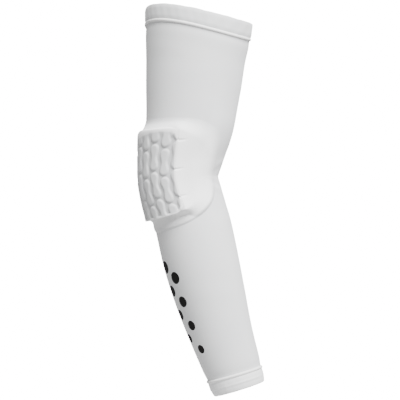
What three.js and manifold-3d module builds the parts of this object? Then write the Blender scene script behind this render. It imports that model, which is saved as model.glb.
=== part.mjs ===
// Long arm sleeve with a padded elbow: a knitted stretch tube shaped to a slightly bent
// arm, with a sewn band and a raised seam at each end, a foam pad with bone-shaped tiles
// over the back of the elbow, the soft margin that blends the pad into the sleeve, and
// two staggered columns of printed dots down the back of the forearm.
// Millimetres, +Z up. The origin is the middle of the elbow. The arm bends in the XZ
// plane: -X is the back of the arm, +X is the inside of the elbow. The pad and the print
// are turned round the arm from its back towards -Y.
import * as THREE from "three";
import { mergeVertices } from "three/addons/utils/BufferGeometryUtils.js";
import Module from "manifold-3d";

// The arm's form
const upperLength = 168.5; // middle of the elbow to the upper opening, along the arm
const foreLength = 220; // middle of the elbow to the wrist opening, along the arm
const upperLean = 6; // degrees that the upper arm leans towards +X, going up
const foreLean = 15.3; // degrees that the forearm swings towards +X, going down
const elbowDepth = 76; // back to front through the elbow, outside the knit
const creaseDepth = 2.6; // the fold at the inside of the elbow
const creaseReach = 17; // how far the fold runs out above and below
const openingWave = 2.7; // how far the upper opening's edge waves

// The cloth
const knitWall = 1.2;
const pieceGap = 0.3; // between pieces that touch on the real sleeve
const bandWall = 2; // a folded, doubled band
const bandProud = 0.7; // how far a band stands out of the knit beside it
const foldCorner = 0.3; // a round fold's corner point, as a share of its radius
const upperBandHeight = 15.4;
const wristBandHeight = 14;
const seamWidth = 2.4; // the raised seam beside each band
const seamHeight = 0.7;
const seamShoulder = 0.25; // share of its width that each of its sides slopes over

// The pad, measured over its outer face
const padTurn = 29;
const padWidth = 86;
const padAbove = 53; // from the middle of the elbow up
const padBelow = 41; // from the middle of the elbow down
const padHeight = 8.2; // sleeve to the tiles' tops
const grooveDepth = 1.6; // between the tiles
const padTopSlope = 4; // how far the upper edge leans back over its height
const padSideSlope = 0.8; // the same for the other edges
const padBow = 2.6; // how far the pad's sides are drawn up round the elbow
const padLean = 0.1; // how far its lower part leans across, for each mm down
const padLeanFrom = 20; // over this length from its middle the lean sets in
const padSquareness = 9; // of its outline: 2 is an oval, and more is squarer

// The tiles
const tileColumns = 8;
const tilePitch = 27.6; // from tile to tile in a column
const tileStagger = 6; // how far every second column is raised
const tileGroove = 1.9; // the width of a groove
const tileBulb = 4.75; // radius of a tile's round ends
const tileWaist = 3.2; // half a tile's narrow middle
const tileChamfer = 0.8;
const tileEdge = 1; // from the outer columns' middles to the pad's sides
const firstGroove = -2.1; // a groove's middle in the even columns, below the elbow's middle

// The margin around the pad
const marginWidth = 194; // over the same curve as the pad's face
const marginAbove = 66;
const marginBelow = 54.5;
const marginEdge = 1.1; // sleeve to the margin's top at its outer edge
const marginRise = 6.6; // how much higher it stands beside the pad
const marginCrest = 1.2; // of a crest on that, right beside the pad
const marginCrestReach = 9;
const marginRiseAbove = 10; // how far past the pad's ends that rise runs out, beside it
const marginRiseBelow = 4;
const marginRunOut = 0.8; // how much further for each mm away from the pad's sides
const marginFallAbove = 1.05; // how fast that rise falls away sideways: 1 is straight
const marginFallBelow = 1.7; // the same below the elbow's middle
const marginEndShare = 0.12; // of that rise, at the middle of the pad's ends
const marginCorner = 0.5; // share of the pad's half width from which it grows to the sides
const marginSquareness = 3;

// The printed dots
const dotTurn = 29; // degrees round the arm from its back to the middle of the print
const dotRows = 8;
const dotDiameter = 13; // the largest, nearest the elbow
const dotShrink = 0.6; // from each dot to the next
const dotPitch = 12.4; // along the forearm
const dotOffset = 6.6; // of each column from the middle of the print
const dotStart = 84; // from the middle of the elbow to the first dot's middle
const dotFilm = 0.3;

// How finely the curved forms are cut
const sides = 36;
const ringsPerRow = 2;
const outlineCount = 40;
const cutInside = 2.4; // how far cutting bodies reach inside the knit
const cutOutside = 20.5; // and off it

// Sections of the sleeve, outside the knit, from the upper opening to the wrist.
// at: share of the upper arm's length (below 0) or the forearm's (above 0), from the elbow
// shift: how far its middle lies in front of the limb's line, as a share of elbowDepth
// depth: back to front, as a share of elbowDepth; round: side to side, as a share of depth
// slope: degrees that the section's front edge is raised
// wave: how far it is raised at the back's near side and lowered at the front's, as a
// share of openingWave
const sections = [
  { at: -1.0, shift: 0.006, depth: 1.444, round: 0.92, slope: -8.2, wave: 0.9 },
  { at: -0.887, shift: 0.017, depth: 1.416, round: 0.92, slope: -7.8, wave: 1 },
  { at: -0.733, shift: 0.022, depth: 1.335, round: 0.92, slope: -6.1, wave: 0.5 },
  { at: -0.558, shift: 0.034, depth: 1.275, round: 0.92, slope: -4.5, wave: 0 },
  { at: -0.387, shift: 0.040, depth: 1.198, round: 0.93, slope: -2.4, wave: 0 },
  { at: -0.228, shift: 0.031, depth: 1.131, round: 0.94, slope: -0.5, wave: 0 },
  { at: -0.102, shift: 0.016, depth: 1.047, round: 0.95, slope: 1.7, wave: 0 },
  { at: 0.0, shift: 0.028, depth: 1.012, round: 0.96, slope: 4.8, wave: 0 },
  { at: 0.071, shift: 0.001, depth: 0.997, round: 0.96, slope: 8.3, wave: 0 },
  { at: 0.149, shift: -0.001, depth: 1.001, round: 0.96, slope: 10.6, wave: 0 },
  { at: 0.235, shift: -0.006, depth: 1.017, round: 0.96, slope: 11.4, wave: 0 },
  { at: 0.388, shift: -0.028, depth: 1.010, round: 0.95, slope: 11.7, wave: 0 },
  { at: 0.555, shift: -0.037, depth: 0.951, round: 0.93, slope: 12.0, wave: 0 },
  { at: 0.727, shift: -0.030, depth: 0.855, round: 0.91, slope: 13.4, wave: 0 },
  { at: 0.913, shift: 0.002, depth: 0.758, round: 0.88, slope: 16.0, wave: 0 },
  { at: 1.0, shift: 0.014, depth: 0.692, round: 0.87, slope: 17.4, wave: 0 },
];

const radians = THREE.MathUtils.degToRad;

// Each table row as a section: its distance along the arm, middle, half sizes and slope.
const stations = sections.map(({ at, shift, depth, round, slope, wave }) => {
  const length = at < 0 ? upperLength : foreLength;
  const lean = radians(at < 0 ? upperLean : -foreLean);
  const forward = shift * elbowDepth;
  return {
    along: at * length,
    x: Math.abs(at) * length * Math.abs(Math.sin(lean)) + forward * Math.cos(lean),
    z: -at * length * Math.cos(lean) - forward * Math.sin(lean),
    halfDepth: (depth * elbowDepth) / 2,
    halfWidth: (depth * round * elbowDepth) / 2,
    slope: radians(slope),
    wave: wave * openingWave,
  };
});

// A section between the rows, on smooth curves through them.
function sectionAt(along) {
  const last = stations.length - 1;
  let i = 0;
  while (i < last - 1 && along > stations[i + 1].along) i += 1;
  const before = stations[Math.max(i - 1, 0)];
  const from = stations[i];
  const to = stations[i + 1];
  const after = stations[Math.min(i + 2, last)];
  const span = to.along - from.along;
  const t = (along - from.along) / span;
  const made = {};
  for (const key of ["x", "z", "halfDepth", "halfWidth", "slope", "wave"]) {
    const startRate = (to[key] - before[key]) / (to.along - before.along);
    const endRate = (after[key] - from[key]) / (after.along - from.along);
    made[key] =
      from[key] * (1 - 3 * t * t + 2 * t ** 3) +
      to[key] * (3 * t * t - 2 * t ** 3) +
      startRate * span * (t - 2 * t * t + t ** 3) +
      endRate * span * (t ** 3 - t * t);
  }
  return made;
}

// The fold at the inside of the elbow: a sharp valley that fades out round the arm.
function creaseAt(along, around) {
  const near = Math.max(0, 1 - Math.abs(along) / creaseReach);
  const front = Math.max(0, -Math.cos(around));
  return -creaseDepth * near ** 1.5 * front ** 4;
}

// A point of the sleeve: along the arm, around it from the back, and height off the knit.
function armPoint(along, around, height) {
  const { x, z, halfDepth, halfWidth, slope, wave } = sectionAt(along);
  const normal = new THREE.Vector2(
    Math.cos(around) / halfDepth,
    Math.sin(around) / halfWidth,
  ).normalize();
  const off = height + creaseAt(along, around);
  const back = halfDepth * Math.cos(around) + off * normal.x;
  const side = halfWidth * Math.sin(around) + off * normal.y;
  return new THREE.Vector3(
    x - back * Math.cos(slope),
    -side,
    z - back * Math.sin(slope) + wave * Math.sin(2 * around),
  );
}

// A closed body from loops of points, one after the other. Its ends are closed to a pole
// point each, or the last loop joins the first where there are no poles.
function bodyFromLoops(loops, poles) {
  const count = loops[0].length;
  const points = loops.flat();
  const faces = [];
  const quad = (a, b, c, d) => faces.push(a, b, c, a, c, d);
  const joins = poles ? loops.length - 1 : loops.length;
  for (let k = 0; k < joins; k += 1) {
    const here = k * count;
    const next = ((k + 1) % loops.length) * count;
    for (let j = 0; j < count; j += 1) {
      const step = (j + 1) % count;
      quad(here + j, here + step, next + step, next + j);
    }
  }
  if (poles) {
    const first = points.length;
    points.push(poles[0], poles[1]);
    const top = (loops.length - 1) * count;
    for (let j = 0; j < count; j += 1) {
      const step = (j + 1) % count;
      faces.push(first, step, j);
      faces.push(first + 1, top + j, top + step);
    }
  }
  const geometry = new THREE.BufferGeometry().setFromPoints(points);
  geometry.setIndex(faces);
  return geometry;
}

// A loop round the arm.
function ring(along, height) {
  return Array.from({ length: sides }, (_, j) =>
    armPoint(along, (2 * Math.PI * j) / sides, height),
  );
}

// A closed profile of [along, height] points carried round the arm.
function carriedRound(profile) {
  return bodyFromLoops(
    profile.map(([along, height]) => ring(along, height)),
    null,
  );
}

const upperSeamAt = -upperLength + upperBandHeight;
const wristSeamAt = foreLength - wristBandHeight;

// Where the sleeve's rings lie along the arm: at the table's rows and between them.
const sleeveStart = upperSeamAt + pieceGap;
const sleeveEnd = wristSeamAt - pieceGap;
const sleeveRows = [
  sleeveStart,
  ...stations
    .map((station) => station.along)
    .filter((along) => along > sleeveStart + seamWidth && along < sleeveEnd - seamWidth),
  sleeveEnd,
];
const ringMarks = sleeveRows.flatMap((along, i) => {
  if (i === sleeveRows.length - 1) return [along];
  return Array.from(
    { length: ringsPerRow },
    (_, k) => along + (k / ringsPerRow) * (sleeveRows[i + 1] - along),
  );
});

// The pad's own measure: across its outer face from the back line, and down along it.
const faceRadius = elbowDepth / 2 + padHeight;
const rulerStep = 0.5;
const rulerReach = 0.6; // of each limb's length
const ruler = [];
{
  const start = -rulerReach * upperLength;
  const end = rulerReach * foreLength;
  let walked = 0;
  let previous = armPoint(start, 0, padHeight);
  for (let along = start; along <= end; along += rulerStep) {
    const point = armPoint(along, 0, padHeight);
    walked += point.distanceTo(previous);
    ruler.push({ along, walked });
    previous = point;
  }
  const zero = ruler.find((mark) => mark.along >= 0).walked;
  for (const mark of ruler) mark.walked -= zero;
}

// How much further up the pad's face lies at its sides than in its middle.
function bowAt(across) {
  return padBow * (across / (padWidth / 2)) ** 2;
}

// A point over the pad: across its face from its middle, down it, and height off the knit.
function padPoint(across, down, height) {
  const bowed = down - bowAt(across);
  const leant = (down + Math.hypot(down, padLeanFrom) - padLeanFrom) / 2;
  const i = Math.max(1, ruler.findIndex((mark) => mark.walked >= bowed));
  const from = ruler[i - 1];
  const to = ruler[i];
  const share = (bowed - from.walked) / (to.walked - from.walked);
  const along = from.along + share * (to.along - from.along);
  const around = radians(padTurn) + (across + padLean * leant) / faceRadius;
  return armPoint(along, around, height);
}

// A rounded outline round the pad's middle.
function outline(halfAcross, above, below, squareness) {
  return Array.from({ length: outlineCount }, (_, j) => {
    const angle = (-2 * Math.PI * j) / outlineCount;
    const halfDown = Math.sin(angle) < 0 ? above : below;
    const reach =
      ((Math.abs(Math.cos(angle)) / halfAcross) ** squareness +
        (Math.abs(Math.sin(angle)) / halfDown) ** squareness) **
      (-1 / squareness);
    return [reach * Math.cos(angle), reach * Math.sin(angle)];
  });
}

// The pad's outline at a height, drawn in as its edges slope.
function padOutline(height, grow) {
  const share = height / padHeight;
  return outline(
    padWidth / 2 - padSideSlope * share + grow,
    padAbove - padTopSlope * share + grow,
    padBelow - padSideSlope * share + grow,
    padSquareness,
  );
}

const marginOutline = outline(
  marginWidth / 2,
  marginAbove,
  marginBelow,
  marginSquareness,
);

// One bone-shaped tile: two round ends and a narrower waist.
const tileHalf = (tilePitch - tileGroove) / 2;
const tileLevels = [0.89, 0.62, 0, -0.62, -0.89];

function tileHalfWidth(down) {
  const centre = tileHalf - tileBulb;
  const past = Math.abs(down) - centre;
  if (past > 0) return Math.sqrt(Math.max(0, tileBulb ** 2 - past ** 2));
  const swell = (1 - Math.cos((Math.PI * down) / centre)) / 2;
  return tileWaist + (tileBulb - tileWaist) * swell;
}

// Round the bend the pad is squeezed along its length on the arm's inner side. This is how
// much, so that the tiles can keep their real length there.
function squeezeAt(across) {
  const reach = tilePitch;
  const from = padPoint(across, -reach, padHeight);
  return from.distanceTo(padPoint(across, reach, padHeight)) / (2 * reach);
}

function tileLoop(across, down, inset, height) {
  const long = 1 - inset / tileHalf;
  const right = tileLevels.map((level) => [
    tileHalfWidth(level * tileHalf) - inset,
    level * tileHalf * long,
  ]);
  const left = right.map(([wide, low]) => [-wide, low]).toReversed();
  const loop = [[0, tileHalf * long], ...right, [0, -tileHalf * long], ...left];
  const squeeze = squeezeAt(across);
  return loop.map(([wide, low]) =>
    padPoint(across + wide, (down + low) / squeeze + bowAt(across), height),
  );
}

function tile(across, down) {
  const foot = padHeight - 2 * grooveDepth;
  const loops = [
    tileLoop(across, down, 0, foot),
    tileLoop(across, down, 0, padHeight - tileChamfer),
    tileLoop(across, down, tileChamfer, padHeight),
  ];
  const middle = down / squeezeAt(across) + bowAt(across);
  return bodyFromLoops(loops, [
    padPoint(across, middle, foot),
    padPoint(across, middle, padHeight),
  ]);
}

// Solids are joined and cut by manifold-3d.
const wasm = await Module();
wasm.setup();

function solidFrom(geometry) {
  const merged = mergeVertices(geometry, 1e-4);
  return new wasm.Manifold(
    new wasm.Mesh({
      numProp: 3,
      vertProperties: merged.attributes.position.array,
      triVerts: new Uint32Array(merged.index.array),
    }),
  );
}

function geometryFrom(solid) {
  const mesh = solid.getMesh();
  const geometry = new THREE.BufferGeometry();
  geometry.setAttribute("position", new THREE.BufferAttribute(mesh.vertProperties, 3));
  geometry.setIndex(new THREE.BufferAttribute(mesh.triVerts, 1));
  return geometry;
}

// The whole arm inside a height off the knit, on the sleeve's own rings, so that what is
// cut with it follows the sleeve facet for facet.
function armBody(height) {
  const middle = (along) => {
    const { x, z } = sectionAt(along);
    return new THREE.Vector3(x, 0, z);
  };
  const marks = ringMarks.toReversed();
  const loops = marks.map((along) => ring(along, height));
  return solidFrom(bodyFromLoops(loops, [middle(marks[0]), middle(marks.at(-1))]));
}

// Everything within an outline that is given for each height, from inside the knit to well
// above the tiles.
function prism(outlineAt) {
  const loops = [-cutInside, cutOutside].map((height) =>
    outlineAt(height).map(([across, down]) => padPoint(across, down, height)),
  );
  const poles = [padPoint(0, 0, -cutInside), padPoint(0, 0, cutOutside)];
  return solidFrom(bodyFromLoops(loops, poles));
}

// The foam pad: a block up to the grooves' floor, with the tiles standing on it. Tiles
// that pass the pad's edge are cut off there.
function elbowPad() {
  const floor = armBody(padHeight - grooveDepth);
  const columnPitch = (padWidth - 2 * tileEdge) / (tileColumns - 1);
  let tiles = null;
  for (let column = 0; column < tileColumns; column += 1) {
    const across = (column - (tileColumns - 1) / 2) * columnPitch;
    const raised = column % 2 ? tileStagger : 0;
    const first = firstGroove - raised + tilePitch / 2 - 2 * tilePitch;
    for (let down = first; down - tileHalf < padBelow; down += tilePitch) {
      const one = solidFrom(tile(across, down));
      tiles = tiles ? tiles.add(one) : one;
    }
  }
  const whole = floor.add(tiles).intersect(prism((height) => padOutline(height, 0)));
  return geometryFrom(whole.subtract(armBody(pieceGap)));
}

// How high the margin stands: as high as the pad's sides there, and thin elsewhere.
function marginHeight(across, down) {
  const beside = Math.max(0, Math.abs(across) - padWidth / 2);
  const sideways = 1 - beside / ((marginWidth - padWidth) / 2);
  const corner = THREE.MathUtils.smoothstep(
    Math.abs(across) / (padWidth / 2),
    marginCorner,
    1,
  );
  const nearSide = THREE.MathUtils.lerp(marginEndShare, 1, corner);
  const [end, shortest] =
    down < 0 ? [padAbove, marginRiseAbove] : [padBelow, marginRiseBelow];
  const run = shortest + marginRunOut * beside;
  const past = THREE.MathUtils.smoothstep(Math.abs(down) - end, -run / 2, run);
  const crest = marginCrest * Math.max(0, 1 - beside / marginCrestReach);
  const lower = THREE.MathUtils.smoothstep(down, -10, 25);
  const fall = THREE.MathUtils.lerp(marginFallAbove, marginFallBelow, lower);
  const rise = marginRise * Math.max(0, sideways) ** fall + crest;
  return marginEdge + rise * nearSide * (1 - past);
}

// The soft margin: a ring from the pad's outline out to its own, cut to lie on the sleeve.
function padMargin() {
  const shares = [0, 0.16, 0.33, 0.5, 0.67, 0.84, 1];
  const inner = padOutline(0, 0);
  const loopAt = (share, heightAt) =>
    inner.map(([across, down], j) => {
      const wide = across + (marginOutline[j][0] - across) * share;
      const low = down + (marginOutline[j][1] - down) * share;
      return padPoint(wide, low, heightAt(wide, low));
    });
  const loops = [
    ...[0, 0.5, 1].map((share) => loopAt(share, () => -knitWall)),
    ...shares.toReversed().map((share) => loopAt(share, marginHeight)),
  ];
  const hole = prism((height) => padOutline(height, pieceGap));
  return geometryFrom(
    solidFrom(bodyFromLoops(loops, null)).subtract(hole).subtract(armBody(pieceGap)),
  );
}

// A band: a doubled fold of cloth whose free edge is round.
function band(openingAt, height, direction) {
  const low = bandProud - bandWall;
  const fold = bandWall / 2;
  const seamEdge = openingAt + direction * height;
  const edge = (share) => openingAt + direction * fold * share;
  const middle = bandProud - fold;
  const profile = [
    [seamEdge, low],
    [edge(1), low],
    [edge(foldCorner), middle - fold * (1 - foldCorner)],
    [edge(0), middle],
    [edge(foldCorner), middle + fold * (1 - foldCorner)],
    [edge(1), bandProud],
    [seamEdge, bandProud],
  ];
  return carriedRound(direction > 0 ? profile.toReversed() : profile);
}

// The raised seam on the knit beside a band.
function seam(bandEdge, direction) {
  const start = bandEdge + direction * (pieceGap + pieceGap);
  const end = start + direction * seamWidth;
  const profile = [
    [start, pieceGap],
    [end, pieceGap],
    [end - direction * seamWidth * seamShoulder, pieceGap + seamHeight],
    [start + direction * seamWidth * seamShoulder, pieceGap + seamHeight],
  ];
  return carriedRound(direction > 0 ? profile : profile.toReversed());
}

// The knitted tube, open at both ends. Its inside has rings only at the table's rows.
function sleeve() {
  return carriedRound([
    ...sleeveRows.map((along) => [along, -knitWall]),
    ...ringMarks.toReversed().map((along) => [along, 0]),
  ]);
}

// One printed dot on the back of the forearm: a thin film that lies on the knit.
function dot(row, film) {
  const radius = (dotDiameter - dotShrink * row) / 2;
  const along = dotStart + dotPitch * row;
  const { halfDepth } = sectionAt(along);
  const around = radians(dotTurn) + ((row % 2 ? 1 : -1) * dotOffset) / halfDepth;
  const dotSides = 12;
  const loopAt = (height) =>
    Array.from({ length: dotSides }, (_, j) => {
      const angle = (2 * Math.PI * j) / dotSides;
      return armPoint(
        along - radius * Math.sin(angle),
        around + (radius * Math.cos(angle)) / halfDepth,
        height,
      );
    });
  const loops = [loopAt(-cutInside), loopAt(cutInside)];
  const poles = [-cutInside, cutInside].map((height) => armPoint(along, around, height));
  return geometryFrom(film.intersect(solidFrom(bodyFromLoops(loops, poles))));
}

const knit = new THREE.MeshStandardMaterial({ color: 0xf1f2f3, roughness: 0.85 });
const elastic = new THREE.MeshStandardMaterial({ color: 0xf4f4f5, roughness: 0.8 });
const thread = new THREE.MeshStandardMaterial({ color: 0xf7f7f7, roughness: 0.7 });
const foam = new THREE.MeshStandardMaterial({ color: 0xeceded, roughness: 0.75 });
const ink = new THREE.MeshStandardMaterial({ color: 0x151515, roughness: 0.6 });

const armSleeve = new THREE.Group();

function piece(name, geometry, material) {
  geometry.computeVertexNormals();
  const mesh = new THREE.Mesh(geometry, material);
  mesh.name = name;
  armSleeve.add(mesh);
}

piece("sleeve", sleeve(), knit);
piece("upper_band", band(-upperLength, upperBandHeight, 1), elastic);
piece("wrist_band", band(foreLength, wristBandHeight, -1), elastic);
piece("upper_seam", seam(upperSeamAt, 1), thread);
piece("wrist_seam", seam(wristSeamAt, -1), thread);
piece("pad_margin", padMargin(), knit);
piece("elbow_pad", elbowPad(), foam);
const film = armBody(pieceGap + dotFilm).subtract(armBody(pieceGap));
for (let row = 0; row < dotRows; row += 1) {
  piece(`print_dot_${row + 1}`, dot(row, film), ink);
}

export default armSleeve;
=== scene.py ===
import math

import bpy
import numpy as np
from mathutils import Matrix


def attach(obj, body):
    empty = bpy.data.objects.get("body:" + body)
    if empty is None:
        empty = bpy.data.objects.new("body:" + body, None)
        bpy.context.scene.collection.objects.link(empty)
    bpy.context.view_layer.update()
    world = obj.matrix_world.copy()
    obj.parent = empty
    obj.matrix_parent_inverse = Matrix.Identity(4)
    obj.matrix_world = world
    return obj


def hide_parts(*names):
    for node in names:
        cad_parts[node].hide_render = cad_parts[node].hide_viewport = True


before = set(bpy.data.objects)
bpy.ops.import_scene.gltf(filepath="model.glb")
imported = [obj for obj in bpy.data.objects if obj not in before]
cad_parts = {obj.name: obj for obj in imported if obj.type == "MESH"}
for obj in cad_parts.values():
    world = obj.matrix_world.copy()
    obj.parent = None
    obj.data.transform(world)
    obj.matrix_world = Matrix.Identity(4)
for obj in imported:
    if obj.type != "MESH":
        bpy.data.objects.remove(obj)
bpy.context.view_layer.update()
print("frame loaded")

# Shared helpers


# A smooth step from 0 at low to 1 at high: 3t^2 - 2t^3 of the clipped share.
def smoothStep(value, low, high):
    t = np.clip((value - low) / (high - low), 0, 1)
    return t * t * (3 - 2 * t)


# sRGB hex to a linear colour with alpha.
def linearColour(code):
    parts = [int(code[i : i + 2], 16) / 255 for i in (1, 3, 5)]
    return [p / 12.92 if p <= 0.04045 else ((p + 0.055) / 1.055) ** 2.4 for p in parts] + [1.0]


# A mesh from a grid of points (rows x around x 3, in mm). The second axis closes on itself.
# The first closes too, or ends in the two pole points. uv gives u along the second axis and
# v along the first, in centimetres of cloth.
def gridMesh(name, points, uv=None, poles=None, sharpAngle=None):
    rows, count = points.shape[:2]
    k = np.arange(rows - 1 if poles is not None else rows)[:, None]
    j = np.arange(count)[None, :]
    nextRow = (k + 1) % rows
    nextColumn = (j + 1) % count
    quads = np.stack(
        np.broadcast_arrays(
            k * count + j,
            k * count + nextColumn,
            nextRow * count + nextColumn,
            nextRow * count + j,
        ),
        axis=-1,
    ).reshape(-1, 4)
    vertices = points.reshape(-1, 3)
    faces = quads.tolist()
    if poles is not None:
        first = len(vertices)
        vertices = np.concatenate([vertices, np.asarray(poles)])
        last = (rows - 1) * count
        around = np.arange(count)
        step = (around + 1) % count
        faces += np.stack([np.full(count, first), step, around], axis=1).tolist()
        faces += np.stack([np.full(count, first + 1), last + around, last + step], axis=1).tolist()
    mesh = bpy.data.meshes.new(name)
    mesh.from_pydata((vertices * 0.001).tolist(), [], faces)
    if uv is not None:
        layer = mesh.uv_layers.new(name="cloth")
        u, v = uv
        # the seam's far side gets its own u, so the pattern doesn't run back across one quad
        lowU = np.broadcast_to(u[:, :-1], (rows, count))
        highU = np.broadcast_to(u[:, 1:], (rows, count))
        wide = np.broadcast_to(v, (rows, count + 1))
        here = k[:, 0]
        there = nextRow[:, 0]
        corners = np.stack(
            [
                np.stack([lowU[here], wide[here][:, :-1]], axis=-1),
                np.stack([highU[here], wide[here][:, 1:]], axis=-1),
                np.stack([highU[there], wide[there][:, 1:]], axis=-1),
                np.stack([lowU[there], wide[there][:, :-1]], axis=-1),
            ],
            axis=2,
        ).reshape(-1, 2)
        flat = np.zeros((len(mesh.loops), 2))
        flat[: len(corners)] = corners
        layer.data.foreach_set("uv", flat.ravel())
    return finishMesh(name, mesh, sharpAngle)


# Puts a mesh in the scene, shaded smooth, with edges sharper than an angle kept crisp.
def finishMesh(name, mesh, sharpAngle=None):
    mesh.update()
    mesh.validate()
    mesh.polygons.foreach_set("use_smooth", np.ones(len(mesh.polygons), dtype=bool))
    if sharpAngle:
        mesh.set_sharp_from_angle(angle=math.radians(sharpAngle))
    piece = bpy.data.objects.new(name, mesh)
    bpy.context.collection.objects.link(piece)
    print(name, "has", sum(len(p.vertices) - 2 for p in mesh.polygons), "triangles")
    return piece


# Adds a node: settings are its own properties, values its unlinked sockets, links its inputs.
def addNode(tree, kind, settings=None, values=None, links=None):
    node = tree.nodes.new(kind)
    for key, value in (settings or {}).items():
        setattr(node, key, value)
    for key, value in (values or {}).items():
        node.inputs[key].default_value = value
    for key, source in (links or {}).items():
        tree.links.new(source, node.inputs[key])
    return node


# The arm's form

arm = {
    "upperLength": 168.5,  # middle of the elbow to the upper opening
    "foreLength": 220.0,  # middle of the elbow to the wrist opening
    "upperLean": 6.0,  # degrees
    "foreLean": 15.3,
    "elbowDepth": 76.0,
    "creaseDepth": 2.6,
    "creaseReach": 17.0,
    "openingWave": 2.7,
}

# The sleeve's sections, outside the knit, from the upper opening to the wrist:
# at, shift, depth, round, slope, wave
sections = np.array(
    [
        [-1.0, 0.006, 1.444, 0.92, -8.2, 0.9],
        [-0.887, 0.017, 1.416, 0.92, -7.8, 1],
        [-0.733, 0.022, 1.335, 0.92, -6.1, 0.5],
        [-0.558, 0.034, 1.275, 0.92, -4.5, 0],
        [-0.387, 0.040, 1.198, 0.93, -2.4, 0],
        [-0.228, 0.031, 1.131, 0.94, -0.5, 0],
        [-0.102, 0.016, 1.047, 0.95, 1.7, 0],
        [0.0, 0.028, 1.012, 0.96, 4.8, 0],
        [0.071, 0.001, 0.997, 0.96, 8.3, 0],
        [0.149, -0.001, 1.001, 0.96, 10.6, 0],
        [0.235, -0.006, 1.017, 0.96, 11.4, 0],
        [0.388, -0.028, 1.010, 0.95, 11.7, 0],
        [0.555, -0.037, 0.951, 0.93, 12.0, 0],
        [0.727, -0.030, 0.855, 0.91, 13.4, 0],
        [0.913, 0.002, 0.758, 0.88, 16.0, 0],
        [1.0, 0.014, 0.692, 0.87, 17.4, 0],
    ]
)


# Each row as a section: distance along the arm, middle x and z, half depth, half width,
# slope and wave.
def stationTable():
    at, shift, depth, roundness, slope, wave = sections.T
    length = np.where(at < 0, arm["upperLength"], arm["foreLength"])
    lean = np.radians(np.where(at < 0, arm["upperLean"], -arm["foreLean"]))
    forward = shift * arm["elbowDepth"]
    halfDepth = depth * arm["elbowDepth"] / 2
    return np.stack(
        [
            at * length,
            np.abs(at) * length * np.abs(np.sin(lean)) + forward * np.cos(lean),
            -at * length * np.cos(lean) - forward * np.sin(lean),
            halfDepth,
            halfDepth * roundness,
            np.radians(slope),
            wave * arm["openingWave"],
        ]
    )


stations = stationTable()


# A section between the rows: cubic curves whose rate at a row is that between its
# neighbours.
def sectionAt(along):
    knots, values = stations[0], stations[1:]
    last = len(knots) - 1
    i = np.clip(np.searchsorted(knots, along) - 1, 0, last - 1)
    before = np.maximum(i - 1, 0)
    after = np.minimum(i + 2, last)
    span = knots[i + 1] - knots[i]
    t = (along - knots[i]) / span
    startRate = (values[:, i + 1] - values[:, before]) / (knots[i + 1] - knots[before])
    endRate = (values[:, after] - values[:, i]) / (knots[after] - knots[i])
    return (
        values[:, i] * (1 - 3 * t**2 + 2 * t**3)
        + values[:, i + 1] * (3 * t**2 - 2 * t**3)
        + startRate * span * (t - 2 * t**2 + t**3)
        + endRate * span * (t**3 - t**2)
    )


# The fold at the inside of the elbow: a valley that fades out along and round the arm.
def creaseAt(along, around):
    near = np.maximum(0, 1 - np.abs(along) / arm["creaseReach"])
    front = np.maximum(0, -np.cos(around))
    return -arm["creaseDepth"] * near**1.5 * front**4


# A point of the sleeve: an ellipse at that distance along the arm, tilted by its slope,
# moved out along its normal by the height and in by the fold.
def armPoint(along, around, height):
    along, around, height = np.broadcast_arrays(
        *[np.asarray(v, dtype=float) for v in (along, around, height)]
    )
    x, z, halfDepth, halfWidth, slope, wave = sectionAt(along)
    nx = np.cos(around) / halfDepth
    ny = np.sin(around) / halfWidth
    size = np.hypot(nx, ny)
    off = height + creaseAt(along, around)
    back = halfDepth * np.cos(around) + off * nx / size
    side = halfWidth * np.sin(around) + off * ny / size
    return np.stack(
        [
            x - back * np.cos(slope),
            -side,
            z - back * np.sin(slope) + wave * np.sin(2 * around),
        ],
        axis=-1,
    )


# The camera

photoCamera = {
    "elevation": -2.5,  # degrees, looking along +Y
    "distance": 1700.0,  # to the aim point
    "aimRight": 19.3,  # of the elbow's middle
    "aimUp": -20.4,
    "pixel": 1.018,  # mm a pixel at the aim point, in a 400 pixel frame
    "sensor": 36.0,
}


def makeCamera():
    tilt = math.radians(photoCamera["elevation"])
    back = np.array([0, -math.cos(tilt), math.sin(tilt)])
    up = np.array([0, math.sin(tilt), math.cos(tilt)])
    place = (
        np.array([1.0, 0, 0]) * photoCamera["aimRight"]
        + up * photoCamera["aimUp"]
        + back * photoCamera["distance"]
    )
    data = bpy.data.cameras.new("camera")
    halfFrame = 200 * photoCamera["pixel"]
    data.sensor_width = photoCamera["sensor"]
    data.lens = photoCamera["sensor"] / 2 * photoCamera["distance"] / halfFrame
    data.clip_start = 0.05
    data.clip_end = 50
    camera = bpy.data.objects.new("camera", data)
    camera.location = (place * 0.001).tolist()
    camera.rotation_euler = (math.radians(90) + tilt * -1, 0, 0)
    bpy.context.collection.objects.link(camera)
    bpy.context.scene.camera = camera


makeCamera()
print("camera made")

# Cloth relief

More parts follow.
